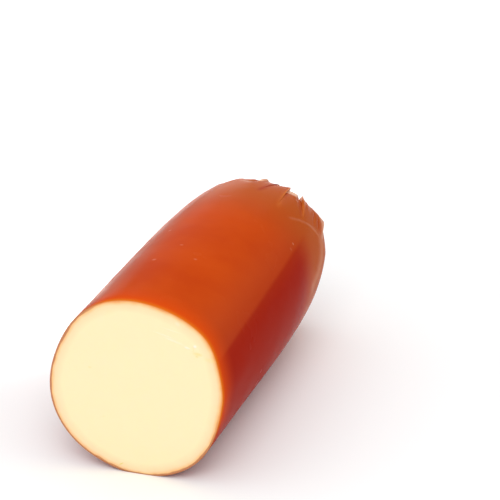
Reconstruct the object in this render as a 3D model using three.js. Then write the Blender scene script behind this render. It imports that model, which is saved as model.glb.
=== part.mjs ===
import * as THREE from "three";
import { mergeVertices } from "three/addons/utils/BufferGeometryUtils.js";

// A smoked sausage cheese: one log in its smoked rind, cut straight across at the front, tapering
// to a back end that is gathered into overlapping pleats round a small pucker.
// Millimetres, +Z up. The log lies along Y with its cut facing -Y. Angles round the log run from
// +X up towards +Z. The origin is under the middle of the log, on the surface that it rests on.

// Driving dimensions of the log
const DIAMETER = 70;
const STRAIGHT_LENGTH = 70; // from the cut to where the taper begins
const TAPER_LENGTH = 87; // from there to the level of the end
const TAPER_POWER = 2.64; // 2 would be an ellipse, and more is squarer at the shoulder
const END_SHARE = 0.68; // radius of the end's middle, as a share of the log's radius
const CUT_RISE = 0.0126; // the cut leans: millimetres back for each millimetre up
const CUT_SLEW = -0.0109; // and for each millimetre to the right

// How the section departs from a circle, as shares of the radius
const SECTION_LOBES = [
  { count: 2, across: -0.0146, upward: 0.0061 },
  { count: 3, across: -0.0111, upward: -0.0011 },
  { count: 4, across: -0.0081, upward: 0.0122 },
  { count: 5, across: -0.0027, upward: -0.0034 },
];

// The underside sags on to the surface that the log rests on
const REST_DEPTH = 34.9; // from the log's axis down to that surface
const SAG_SHARE = 0.0165; // how far the section bulges beside the flat, as a share of the radius
const SAG_ANGLE = 270; // straight down
const SAG_SPREAD = 12; // degrees to each side of that

// The gathered end
const CREST_STEP = 14; // the taper's station where the pleats stand highest
const END_BULGE = 2; // the end's middle stands this far behind its shoulder
const PUCKER_RADIUS = 7;
const PUCKER_DEPTH = 4.5;
const KNOT_RADIUS = 3;
const KNOT_HEIGHT = 4;
const END_TWIST = 24; // degrees that the folds turn on their way to the knot
const LAP_GAP = 0.5; // degrees between one pleat's edge and the next one's

// The pleats on the upper right of the end. Each starts at an angle of the crest, and its edge
// drifts by some degrees for each millimetre towards the cut, until the pleat dies out at its
// reach. Heights are from the smooth outline: at the pleat's start, at its end, and its sag.
const UPPER_PLEATS = [
  { at: 2, drift: 0, reach: 14, start: 0, end: -0.1, sag: 0.35 },
  { at: 24, drift: -0.35, reach: 15, start: 0.55, end: -0.3, sag: 0 },
  { at: 31, drift: -0.5, reach: 20, start: 0, end: -0.95, sag: 0 },
  { at: 38.5, drift: -0.5, reach: 28, start: -0.75, end: -0.35, sag: 0.7 },
  { at: 52, drift: -0.42, reach: 26, start: -1.95, end: -1.8, sag: -0.35 },
  { at: 63, drift: -0.08, reach: 32, start: -0.1, end: -1.35, sag: 0.1 },
  { at: 74, drift: 0.48, reach: 26, start: -0.6, end: -1.25, sag: 0 },
  { at: 83, drift: 0.3, reach: 18, start: 0.05, end: -1.3, sag: 0.15 },
  { at: 96.5, drift: 0.1, reach: 14, start: -1.2, end: -0.35, sag: 0 },
  { at: 106, drift: 0, reach: 16, start: -0.35, end: -1.1, sag: 0.1 },
];

// The pleats on the rest of the end follow a rule: their sizes are spread unevenly over ranges
const LOWER_START = 121;
const LOWER_COUNT = 15;
const GOLDEN_SHARE = 0.618034;
const LOWER_SPREADS = {
  width: { from: 0.65, to: 1.35, start: 0.04 },
  drift: { from: -0.35, to: 0.35, start: 0.1 },
  reach: { from: 12, to: 25, start: 0.7 },
  high: { from: 0, to: -0.35, start: 0.5 },
  low: { from: -0.9, to: -1.7, start: 0.8 },
  sag: { from: 0, to: 0.5, start: 0.35 },
};
const DOWN_LAP_EVERY = 4; // one pleat in four laps downwards
const DOWN_LAP_FIRST = 2;

// How quickly the folds fade ahead of the crest and on their way to the knot
const AHEAD_FADE = 1.4;
const BEHIND_FADE = 0.7;

// How finely the surface is divided
const BODY_STEPS = 3;
const TAPER_STEPS = 18;
const END_STEPS = 8;
const PLEAT_STEPS = 4;
const MERGE_DISTANCE = 1e-4;

const RADIUS = DIAMETER / 2;
const END_RADIUS = RADIUS * END_SHARE;
const FULL_TURN = 360;
const { degToRad, lerp, radToDeg, smoothstep } = THREE.MathUtils;

// A value from a range, in an uneven order that never repeats
function spread({ from, to, start }, index) {
  return lerp(from, to, (index * GOLDEN_SHARE + start) % 1);
}

// Uneven pleats from the last upper one round to the first: most lap upwards, some downwards
function lowerPleats() {
  const { width, drift, reach, high, low, sag } = LOWER_SPREADS;
  const widths = Array.from({ length: LOWER_COUNT }, (_, index) => spread(width, index));
  const total = widths.reduce((sum, each) => sum + each, 0);
  const span = FULL_TURN + UPPER_PLEATS[0].at - LOWER_START;
  let at = LOWER_START;
  return widths.map((each, index) => {
    const lapsDown = index % DOWN_LAP_EVERY === DOWN_LAP_FIRST;
    const pleat = {
      at,
      drift: spread(drift, index),
      reach: spread(reach, index),
      start: spread(lapsDown ? low : high, index),
      end: spread(lapsDown ? high : low, index),
      sag: spread(sag, index),
    };
    at += (each / total) * span;
    return pleat;
  });
}

const PLEATS = [...UPPER_PLEATS, ...lowerPleats()];

// Radius of the section at an angle, as a share of a circle's
function sectionShare(angle) {
  const sag = SAG_SHARE * Math.exp(-(((radToDeg(angle) - SAG_ANGLE) / SAG_SPREAD) ** 2));
  return SECTION_LOBES.reduce(
    (sum, lobe) =>
      sum + lobe.across * Math.cos(lobe.count * angle) + lobe.upward * Math.sin(lobe.count * angle),
    1 + sag,
  );
}

// A point of the taper, from 0 where it begins to 1 at the level of the end
function taperPoint(run) {
  const turn = (run * Math.PI) / 2;
  const inward = Math.max(Math.cos(turn), 0) ** (2 / TAPER_POWER);
  const along = Math.sin(turn) ** (2 / TAPER_POWER);
  return new THREE.Vector2(RADIUS * lerp(END_SHARE, 1, inward), STRAIGHT_LENGTH + TAPER_LENGTH * along);
}

// A point of the end's middle, from its shoulder at 0 to the knot at 1
function endPoint(run) {
  const radius = END_RADIUS * (1 - run);
  const bulge = END_BULGE * (1 - (radius / END_RADIUS) ** 2);
  const pucker = PUCKER_DEPTH * Math.exp(-((radius / PUCKER_RADIUS) ** 2));
  const knot = KNOT_HEIGHT * Math.exp(-((radius / KNOT_RADIUS) ** 2));
  return new THREE.Vector2(radius, STRAIGHT_LENGTH + TAPER_LENGTH + bulge - pucker + knot);
}

// The log's profile from the middle of the cut round to the middle of the gathered end
function profilePoints() {
  const points = [new THREE.Vector2(0, 0)];
  for (let step = 0; step < BODY_STEPS; step += 1) {
    points.push(new THREE.Vector2(RADIUS, (STRAIGHT_LENGTH * step) / BODY_STEPS));
  }
  for (let step = 0; step <= TAPER_STEPS; step += 1) {
    points.push(taperPoint(step / TAPER_STEPS));
  }
  for (let step = 1; step <= END_STEPS; step += 1) {
    points.push(endPoint(step / END_STEPS));
  }
  return points;
}

// For each profile point: its distance in front of the crest, and which way is out of the surface
function profileStations(points) {
  const crest = 1 + BODY_STEPS + CREST_STEP;
  const travelled = [0];
  for (let index = 1; index < points.length; index += 1) {
    travelled.push(travelled[index - 1] + points[index].distanceTo(points[index - 1]));
  }
  return points.map((point, index) => {
    const before = points[Math.max(index - 1, 1)];
    const after = points[Math.min(index + 1, points.length - 1)];
    const along = after.clone().sub(before).normalize();
    return { point, ahead: travelled[crest] - travelled[index], outward: along.y, backward: -along.x };
  });
}

// Where a pleat's edge lies: it drifts ahead of the crest and turns behind it
function edgeAngle(index, station) {
  const pleat = PLEATS[index % PLEATS.length];
  const turns = Math.floor(index / PLEATS.length);
  const drifted = pleat.drift * THREE.MathUtils.clamp(station.ahead, 0, pleat.reach);
  const behind = smoothstep(RADIUS - station.point.x, RADIUS - END_RADIUS, RADIUS);
  return pleat.at + turns * FULL_TURN + drifted + END_TWIST * behind;
}

// How far the folds stand from the smooth outline, at a share of the way across one pleat
function pleatHeight(index, across, station) {
  const pleat = PLEATS[index];
  const next = PLEATS[(index + 1) % PLEATS.length];
  const height = lerp(pleat.start, pleat.end, across) - pleat.sag * 4 * across * (1 - across);
  if (station.ahead < 0) {
    return height * Math.min(1, station.point.x / END_RADIUS) ** BEHIND_FADE;
  }
  const reach = lerp(pleat.reach, next.reach, across);
  return height * Math.max(0, 1 - station.ahead / reach) ** AHEAD_FADE;
}

// One point of the log's surface
function surfacePoint(index, across, station) {
  const first = edgeAngle(index, station) + LAP_GAP / 2;
  const last = edgeAngle(index + 1, station) - LAP_GAP / 2;
  const angle = degToRad(lerp(first, last, across));
  const height = pleatHeight(index, across, station);
  const radius = station.point.x * sectionShare(angle) + height * station.outward;
  const x = radius * Math.cos(angle);
  const z = Math.max(radius * Math.sin(angle), -REST_DEPTH);
  const lean = (CUT_RISE * z + CUT_SLEW * x) * Math.max(0, 1 - station.point.y / STRAIGHT_LENGTH);
  return new THREE.Vector3(x, station.point.y + lean + height * station.backward, z);
}

// The log as a lathed solid whose columns are drawn on to the pleats
function logGeometry() {
  const points = profilePoints();
  const stations = profileStations(points);
  const columnsPerPleat = PLEAT_STEPS + 1;
  const columns = PLEATS.length * columnsPerPleat;
  const geometry = new THREE.LatheGeometry(points, columns);
  const position = geometry.getAttribute("position");
  for (let column = 0; column <= columns; column += 1) {
    // The lathe turns the other way round, so its columns are counted down
    const wrapped = (columns - column) % columns;
    const pleat = Math.floor(wrapped / columnsPerPleat);
    const across = (wrapped % columnsPerPleat) / PLEAT_STEPS;
    stations.forEach((station, row) => {
      const place = surfacePoint(pleat, across, station);
      if (station.point.x < Number.EPSILON) {
        place.set(0, station.point.y, 0);
      }
      position.setXYZ(column * points.length + row, place.x, place.y, place.z);
    });
  }
  return closedGeometry(geometry);
}

// The same surface with its seam and poles merged and its origin under its middle
function closedGeometry(geometry) {
  geometry.deleteAttribute("normal");
  geometry.deleteAttribute("uv");
  const merged = mergeVertices(geometry, MERGE_DISTANCE);
  const corners = merged.getIndex().array;
  const kept = [];
  for (let face = 0; face < corners.length; face += 3) {
    const [a, b, c] = corners.slice(face, face + 3);
    if (a !== b && b !== c && c !== a) {
      kept.push(a, b, c);
    }
  }
  merged.setIndex(kept);
  merged.computeBoundingBox();
  const { min, max } = merged.boundingBox;
  merged.translate(-(min.x + max.x) / 2, -(min.y + max.y) / 2, -min.z);
  merged.computeVertexNormals();
  return merged;
}

// Smoked rind: red-orange with a soft gloss
function rindMaterial() {
  return new THREE.MeshStandardMaterial({ color: 0xc9481c, roughness: 0.35, metalness: 0 });
}

const sausageCheese = new THREE.Group();
const log = new THREE.Mesh(logGeometry(), rindMaterial());
log.name = "cheese_log";
sausageCheese.add(log);

export default sausageCheese;
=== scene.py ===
import math

import bpy
import numpy as np
from bpy.props import FloatProperty, FloatVectorProperty, IntProperty, PointerProperty
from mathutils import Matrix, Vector


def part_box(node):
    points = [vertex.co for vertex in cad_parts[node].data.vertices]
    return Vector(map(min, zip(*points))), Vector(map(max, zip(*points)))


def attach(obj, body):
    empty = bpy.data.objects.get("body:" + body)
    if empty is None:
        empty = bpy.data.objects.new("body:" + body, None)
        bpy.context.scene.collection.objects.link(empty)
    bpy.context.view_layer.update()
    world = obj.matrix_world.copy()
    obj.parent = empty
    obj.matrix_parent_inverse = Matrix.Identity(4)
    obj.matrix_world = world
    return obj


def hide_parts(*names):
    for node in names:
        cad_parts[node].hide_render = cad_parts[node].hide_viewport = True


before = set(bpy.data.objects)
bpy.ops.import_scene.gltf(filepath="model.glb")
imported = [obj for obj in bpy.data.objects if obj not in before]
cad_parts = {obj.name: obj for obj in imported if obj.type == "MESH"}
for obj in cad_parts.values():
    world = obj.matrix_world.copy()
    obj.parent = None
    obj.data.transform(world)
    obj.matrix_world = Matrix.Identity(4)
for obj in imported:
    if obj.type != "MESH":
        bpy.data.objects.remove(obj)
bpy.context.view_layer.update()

bl_info = {
    "name": "Smoked Sausage Cheese",
    "version": (1, 0, 0),
    "blender": (4, 5, 0),
    "location": "View3D > Sidebar > Cheese",
    "description": "Models a cut log of smoked sausage cheese with a gathered end, and a stage for it",
    "category": "Add Mesh",
}

# The part of the frame that this file dresses
LOG_NODE = "cheese_log"
LOG_BODY = "root"
MM = 0.001
FULL_TURN = 360.0
TINY = 1e-12  # keeps a divisor off zero
WELD = 1e-6  # points closer than this are one

# The log lies along Y with its cut facing -Y, and angles round it run from +X up towards +Z.
# How its section departs from a circle: the number of lobes, and their size across and upward
# as shares of the radius.
SECTION_LOBES = (
    (2, -0.0146, 0.0061),
    (3, -0.0111, -0.0011),
    (4, -0.0081, 0.0122),
    (5, -0.0027, -0.0034),
)
# The underside sags on to the surface that the log rests on
SAG_SHARE = 0.0165
SAG_ANGLE = math.radians(270)
SAG_SPREAD = math.radians(12)
FLAT_SOFTNESS = 0.3 * MM  # how gently the flat underside turns into the round of the log
# Close to the cut the section swells or sinks a little more: the angle and half width in degrees
# and the height in mm of each swell, and how far from the cut they have faded out
CUT_SWELLS = (
    (0.0, 9.0, 0.3),
    (20.0, 9.0, -0.25),
    (40.0, 10.0, 0.38),
    (70.0, 18.0, -0.28),
    (150.0, 32.0, -0.3),
    (231.0, 20.0, 0.28),
    (312.0, 20.0, 0.35),
)
CUT_SWELL_END = 55 * MM
CUT_RISE = 0.0126  # the cut leans back by this much for each unit up
CUT_SLEW = -0.0109  # and by this much for each unit to the right

# The gathered end
CREST_RUN = 14 / 18  # share of the taper where the pleats stand highest
END_BULGE = 2 * MM
PUCKER_RADIUS = 7 * MM
PUCKER_DEPTH = 4.5 * MM
KNOT_RADIUS = 3 * MM
KNOT_HEIGHT = 4 * MM
END_TWIST = 24.0  # degrees that the folds turn on their way to the knot
LAP_GAP = 0.5  # degrees between one pleat's edge and the next one's
LAP_TUCK = 1.2  # degrees that the lower pleat reaches in under a raised edge for each mm of step
LAP_TUCK_MAX = 2.0

# The pleats on the upper right of the end: the angle of the edge, its drift in degrees for each
# mm towards the cut, how far ahead the pleat reaches in mm, its height in mm from the smooth
# outline at its start, at its end and as a sag between them, and how strongly its edge shows
# its painted glow.
UPPER_PLEATS = (
    (2.0, 0.0, 14, 0.0, -0.1, 0.35, 0.6),
    (24.0, -0.35, 15, 1.15, 0.1, 0.0, 0.8),
    (31.0, -0.5, 20, 0.2, -0.8, 0.0, 0.8),
    (38.5, -0.5, 28, -0.7, -0.45, 0.7, 0.8),
    (52.0, -0.42, 26, -2.9, -2.2, -1.2, 1.0),
    (63.5, -0.08, 32, -0.1, -1.5, 0.1, 1.0),
    (73.4, 0.24, 26, -1.0, -0.6, 0.5, 0.1),
    (84.6, 0.3, 18, -0.1, -1.3, 0.15, 0.2),
    (96.5, 0.1, 14, -1.2, -0.35, 0.0, 0.4),
    (106.0, 0.0, 16, -0.35, -1.1, 0.1, 0.4),
)

# The pleats on the rest of the end follow a rule: their sizes are spread unevenly over ranges,
# each given as its low and high value and where its spread starts
LOWER_START = 121.0
LOWER_COUNT = 15
GOLDEN_SHARE = 0.618034
LOWER_SPREADS = {
    "width": (0.65, 1.35, 0.04),
    "drift": (-0.35, 0.35, 0.1),
    "reach": (12, 25, 0.7),
    "high": (0, -0.35, 0.5),
    "low": (-0.9, -1.7, 0.8),
    "sag": (0, 0.5, 0.35),
    "glow": (0.4, 1.0, 0.6),
}
DOWN_LAP_EVERY = 4  # one pleat in four laps downwards
DOWN_LAP_FIRST = 2
# Powers that shape how a pleat dies away ahead of the crest and behind it
AHEAD_FADE = 1.4
BEHIND_FADE = 0.7

# The lines of the mesh lie closest round the pleats' edges and on the shoulder
UPPER_COUNT = len(UPPER_PLEATS)  # the pleats that show, with the closest lines
MIN_COLUMNS = 6  # across each pleat
LOWER_COARSENESS = 2.0  # on the lower pleats they lie this much farther apart
EDGE_CROWDING = 0.6
SMOOTH_ANGLE = math.radians(38)  # faces at less than this are shaded as one surface
CUT_FACING = -0.99  # faces of the cut look towards -Y by more than this
# The taper's rings: these shares of their number reach these shares of its quarter turn
RING_SHARES = (0, 0.12, 0.88, 1)
RING_RUNS = (0, 0.3, 0.85, 1)

# Fine folds of the rind. Each has its path, as angles and distances from the cut in mm, and then
# its half width and its height in mm.
FINE_FOLDS = (
    (((50.5, 117.4), (47.5, 120.2), (43.2, 124.2), (35.0, 130.7), (28.0, 134.9), (21.0, 138.1),
      (14.0, 139.7), (6.0, 140.2)), 0.8, 0.2),
    (((31.5, 135.0), (34.0, 141.5), (35.7, 148.8)), 0.5, -0.3),
    (((26.5, 138.0), (29.0, 143.5), (31.0, 150.0)), 0.5, -0.3),
    (((40.5, 138.0), (43.5, 146.0), (45.5, 153.0)), 0.9, 0.2),
    (((45.5, 132.5), (49.2, 137.0), (52.0, 143.5), (54.5, 144.8), (57.7, 150.0)), 0.4, -0.25),
    (((87.0, 138.0), (88.5, 146.0), (91.0, 152.0)), 0.8, -0.25),
    (((97.0, 139.0), (100.0, 146.0), (101.5, 152.5)), 0.8, -0.3),
    (((56.0, 141.0), (55.5, 145.0), (55.2, 152.0)), 1.0, 0.35),
    (((53.2, 140.0), (53.2, 145.0), (53.0, 152.0)), 0.6, -0.5),
    (((89.8, 138.0), (89.3, 144.0), (89.0, 153.0)), 1.1, -0.75),
)
# Broad swells and hollows on the right of the taper: each one's angle, place, height and half
# widths in degrees across and mm along
SWELLS = (
    (5.0, 140.0, 0.65, 18.0, 11.0),
    (-6.0, 117.0, -0.45, 20.0, 14.0),
)
# Fine wrinkles run from the crest to the knot: how many there are of each kind, how many times
# round they crowd together, by how many radians, and their height in mm
WRINKLES = (
    (47, 5, 2.0, 0.13),
    (71, 3, 3.0, 0.08),
)
WRINKLE_START = (0.5, 5.0)  # mm behind the crest
# The corner of the rind that stands up from the crest: its pleat, height and half widths in mm
TIP_PLEAT = 3
TIP_HEIGHT = 0.3
TIP_ACROSS = 0.9
TIP_ALONG = 3.0

# Painted shade, glow and highlights along the folds: path, half width in mm and strength.
# Each starts softly.
# Painted shade in the creases, grooves and gaps under raised edges
SHADE_LINES = (
    (((43.5, 126.9), (46.1, 132.7), (49.4, 140.1), (51.5, 145.5)), 0.45, 0.5),
    (((34.0, 141.5), (34.6, 144.0), (35.7, 148.8)), 0.3, 0.8),
    (((28.8, 142.0), (30.2, 145.5), (31.6, 150.0)), 0.4, 0.8),
    (((24.5, 138.5), (27.5, 141.5), (29.5, 145.5)), 1.3, 0.5),
    (((79.6, 127.0), (78.4, 132.0), (77.2, 138.0), (76.2, 143.0), (75.0, 148.0), (74.4, 151.0)),
     1.1, 0.9),
    (((104.0, 150.5), (98.0, 150.0), (92.0, 149.5), (90.5, 149.5)), 3.0, 0.85),
    (((64.8, 149.0), (64.2, 152.0), (64.0, 156.0)), 0.5, 0.7),
    (((62.5, 139.5), (63.8, 144.0), (65.0, 150.0)), 0.35, 0.5),
)
# Painted glow on lit edges
GLOW_LINES = (
    (((59.5, 118.0), (60.8, 125.0), (61.8, 132.0), (62.5, 138.0)), 1.1, 0.25),
)
# Painted highlights and reflections on the shoulder crease, the pleat tips and grazing edges
HIGHLIGHT_LINES = (
    (((124.0, 10.0), (128.0, 18.0), (132.0, 24.0)), 3.0, 0.2),
    (((50.5, 117.4), (47.5, 120.2), (43.2, 124.2), (35.0, 130.7), (28.0, 134.5)), 0.6, 0.08),
    (((43.2, 124.2), (35.0, 130.7), (28.0, 134.2), (20.2, 137.1), (17.8, 136.0), (14.6, 135.6)),
     0.55, 0.14),
    (((17.0, 137.0), (20.0, 143.0), (23.0, 148.0), (27.0, 151.5), (32.0, 153.0)), 1.4, 0.4),
    (((87.0, 143.0), (86.5, 147.0), (86.2, 152.0), (86.0, 157.0)), 0.9, 1.0),
    (((100.0, 139.5), (95.5, 139.5), (91.0, 138.5)), 0.9, 0.2),
    (((25.0, 140.0), (19.0, 139.0), (13.0, 137.0), (6.0, 134.0), (-1.0, 130.0), (-7.0, 123.0)),
     3.6, 0.17),
)
# The one pleat with a painted highlight along its crest, and how the highlight begins
HIGHLIGHT_PLEAT = 4
HIGHLIGHT_ANGLES = (53.5, 55.5)
HIGHLIGHT_PLACES = (142.5, 145.5)
HIGHLIGHT_STRENGTH = 0.6

# Half widths in mm of the painted glow on a raised edge and at its foot, and of the painted
# shade line beside it, with the line's distance from the foot
RAISED_GLOW = 0.35
FOOT_GLOW = 0.25
RECESS_SHADE = 0.4
RECESS_GAP = 0.7
RECESS_STRENGTH = 0.5
# Behind the crest, from here to there in mm, the recesses' painted shade is broader and darker,
# and the knot's middle is painted dark with shade
BEHIND_SHADE_RUN = (0.5, 6.0)
BEHIND_SHADE = 1.5
BEHIND_STRENGTH = 0.75
KNOT_SHADE = 6 * MM
HIGHLIGHT_END = (-8.0, -1.0)  # the pale tints fade behind the crest between these places in mm
# Near the crest, for this many mm, the recesses' painted shade is lighter and the raised edges get a
# painted highlight
CREST_LIGHT_REACH = 2.5
CREST_LIGHT = 0.8
CREST_HIGHLIGHT = 0.5

# Round the cut, in degrees from the top and negative on the right: between these angles the rim
# turns from its lit side, a painted glow of light through the rind, to its shaded side, where the
# rind's own line shows, painted dark as shade
LIT_SIDE_RIGHT = (-128.0, -100.0)
LIT_SIDE_LEFT = (15.0, 43.0)
# Painted shade: the rind turns darker red towards the underside. In degrees from the top, a step
# that drifts along the log by so much for each mm, a slow change, the step's share, and where both
# end in mm from the cut
UNDER_SHADE_EDGE = 63.6
UNDER_SHADE_EDGE_DRIFT = 0.079
UNDER_SHADE_EDGE_WIDTH = 4.0
UNDER_SHADE_SLOW = (45.0, 72.0)
UNDER_SHADE_STEP = 0.5
UNDER_SHADE_ENDS = (101.6, 125.6)
# On the left and underneath the painted shade changes more gently: where that begins on either
# side, and where the step and the shade's end then lie
SOFT_LEFT = (40.0, 60.0)
SOFT_RIGHT = (108.0, 130.0)
SOFT_STEP = (50.0, 105.0)
SOFT_ENDS = (70.0, 157.0)

# Where the rind's colour changes towards the flanks, by height, and towards the end, by place
FLANK_HEIGHTS = (69 * MM, 56 * MM)
END_PLACES = (10.4 * MM, 55.4 * MM)
TINT_SHARE = 0.7
# Painted shade: the left side turns darker and duller between these angles, in degrees from the
# top, and up to this share
LEFT_SHADE_TURNS = (8.0, 38.0)
LEFT_SHADE_SHARE = 0.8
# Colours across the paste's edge, as distances from the rind, and how unevenly they run
PASTE_REACH = 5 * MM
HALO_REACH = 1.95 * MM
INNER_HALO_REACH = 0.85 * MM
RIM_WAVER = 0.25 * MM
# The rind's line at the edge, painted dark as shade on the rim's shaded side only: where it begins
# to fade and where it ends, on the paste and the rind
PASTE_LINE = (0.35 * MM, 0.85 * MM)
RIND_LINE = (0.1 * MM, 0.45 * MM)
# Painted glow: how far from the cut the paste shines through the rind, and by which power it fades
NEAR_GLOW = (15 * MM, 1.5)
RIM_GLOW = (3.2 * MM, 2.0)

# Marks on the cut: the place across and up in mm, half sizes, tilt in degrees and strength
CUT_DEPTH = -79.0  # the marks' place along the log in mm
THROUGH_CUT = 1000.0  # how deep a mark goes, in mm, so that only its place on the cut counts
MARK_CORE = 0.2  # share of a mark's size within which it is full
# Knife smears: real marks, their whiteness painted highlight
PALE_MARKS = (
    (20.6, 54.0, 1.7, 0.6, -14, 0.8),
    (23.6, 54.9, 0.9, 0.8, 0, 0.9),
    (11.5, 57.9, 6.5, 0.4, -13, 0.3),
    (15.5, 56.0, 5.5, 0.6, -16, 0.4),
    (15.0, 60.0, 5.0, 0.4, -12, 0.25),
    (16.9, 63.0, 1.6, 1.1, -30, 0.25),
)
YELLOW_MARKS = (
    (24.6, 52.0, 2.6, 1.0, -5, 0.55),
    (24.3, 51.0, 0.9, 0.4, 0, 0.6),
    (22.9, 53.4, 0.25, 2.2, 0, 0.35),
    (29.5, 50.2, 3.2, 1.2, -8, 0.3),
    (-17.9, 40.9, 1.0, 0.5, 0, 0.35),
    (-12.6, 21.6, 0.8, 0.4, 0, 0.2),
    (-5.9, 3.0, 1.4, 0.45, 32, 0.9),
)
# Specks on the rind: their places in mm, size and strength
RIND_SPECKS = (
    ((29.0, 26.6, 55.8), 0.8, 0.2),
    ((29.4, 22.1, 55.3), 1.0, 0.06),
    ((-1.3, -21.5, 70.0), 1.0, 0.12),
    ((-6.8, -37.5, 69.5), 1.2, 0.15),
    ((-12.4, -3.6, 67.9), 1.0, 0.12),
    ((7.9, -32.0, 69.4), 1.0, 0.12),
)

# Noise patterns: scale and detail
SMOKE_NOISE = (28.0, 3.0)
GLOSS_NOISE = (45.0, 3.0)
SWELL_NOISE = (60.0, 2.0)
WAVER_NOISE = (220.0, 1.0)
PASTE_NOISE = (500.0, 3.0)
GRAIN_NOISE = (900.0, 2.0)
# The noise's values between which its effect runs from none to full
SMOKE_SPAN = (0.35, 0.7)
NOISE_SPAN = (0.3, 0.7)
# Bumps: strength and height
GRAIN_BUMP = (0.25, 0.05 * MM)
SWELL_BUMP = (0.5, 0.4 * MM)
PASTE_BUMP = (0.2, 0.1 * MM)
MARK_BUMP = (0.6, 0.3 * MM)
# How much the rind's roughness falls and rises
GLOSS_CHANGE = (-0.05, 0.06)
# The other settings of the two shaders: how they shine, and how far light goes in
RIND_SURFACE = {
    "IOR": 1.033,
    "Subsurface Weight": 0.05, "Subsurface Radius": (1.0, 0.25, 0.08), "Subsurface Scale": 2 * MM,
}
PASTE_SURFACE = {
    "Roughness": 0.55, "IOR": 1.4,
    "Subsurface Weight": 0.25, "Subsurface Radius": (1.0, 0.7, 0.35), "Subsurface Scale": 3 * MM,
}
# The sockets of a Mix node that blends colours
MIX_FACTOR, MIX_FIRST, MIX_SECOND, MIX_RESULT = 0, 6, 7, 2

# The floor ends before the lights that stand behind it, whose edge would show on it
FLOOR_SIDE = 2.4
FLOOR_ROUGHNESS = 0.9
# The surround brightens between these heights of its direction, as the sine of the elevation
HORIZON_RISE = (0.0, 0.6)
SENSOR_WIDTH = 36  # mm
# The soft lights face their aim: name, place, width and height, and the setting of their power
LIGHT_AIM = Vector((0, 0, 0.03))
SOFT_LIGHTS = (
    ("key_light", (0.25, -1.0, 1.0), (0.7, 0.7), "key_power"),
    ("back_light", (-0.3, 1.4, 0.37), (0.7, 0.7), "back_power"),
    ("card", (-0.75, 1.3, 0.2), (0.8, 0.4), "card_power"),
)
# The lights that make pale pools on the floor face down: their places, cones and shares of power
FLOOR_POOLS = (
    ((-0.22, 0.42, 0.9), math.radians(42), 1.0),
    ((-0.105, 0.085, 0.9), math.radians(11), 1.1),
)
POOL_BLEND = 1.0
POOL_LAMP_RADIUS = 0.05


# What every setting that is a colour has in common
COLOR = {"subtype": "COLOR", "min": 0, "max": 1}


class LogSizes(bpy.types.PropertyGroup):
    """Sizes of the cheese log."""

    diameter: FloatProperty(
        name="Diameter", description="Across the straight part of the log",
        default=0.070, min=0.02, unit="LENGTH",
    )
    straight_length: FloatProperty(
        name="Straight Length", description="From the cut to where the log begins to taper",
        default=0.070, min=0.01, unit="LENGTH",
    )
    taper_length: FloatProperty(
        name="Taper Length", description="From there to the level of the gathered end",
        default=0.087, min=0.01, unit="LENGTH",
    )
    taper_power: FloatProperty(
        name="Taper Power", description="2 makes an elliptical taper, and more a squarer shoulder",
        default=2.64, min=1.5, max=5.0,
    )
    end_share: FloatProperty(
        name="End Share", description="Radius of the end's middle as a share of the log's radius",
        default=0.68, min=0.1, max=0.95, subtype="FACTOR",
    )
    rest_depth: FloatProperty(
        name="Rest Depth", description="From the log's axis down to the surface that it rests on",
        default=0.0349, min=0.01, unit="LENGTH",
    )
    rim_bevel: FloatProperty(
        name="Rim Bevel", description="Rounding of the edge between the cut and the rind",
        default=0.00025, min=0.0, unit="LENGTH",
    )
    column_step: FloatProperty(
        name="Column Step", description="Degrees between lines along the log",
        default=0.55, min=0.3, max=10.0,
    )
    ring_count: IntProperty(
        name="Rings", description="Rings of faces on the taper",
        default=150, min=18, max=300,
    )


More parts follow.
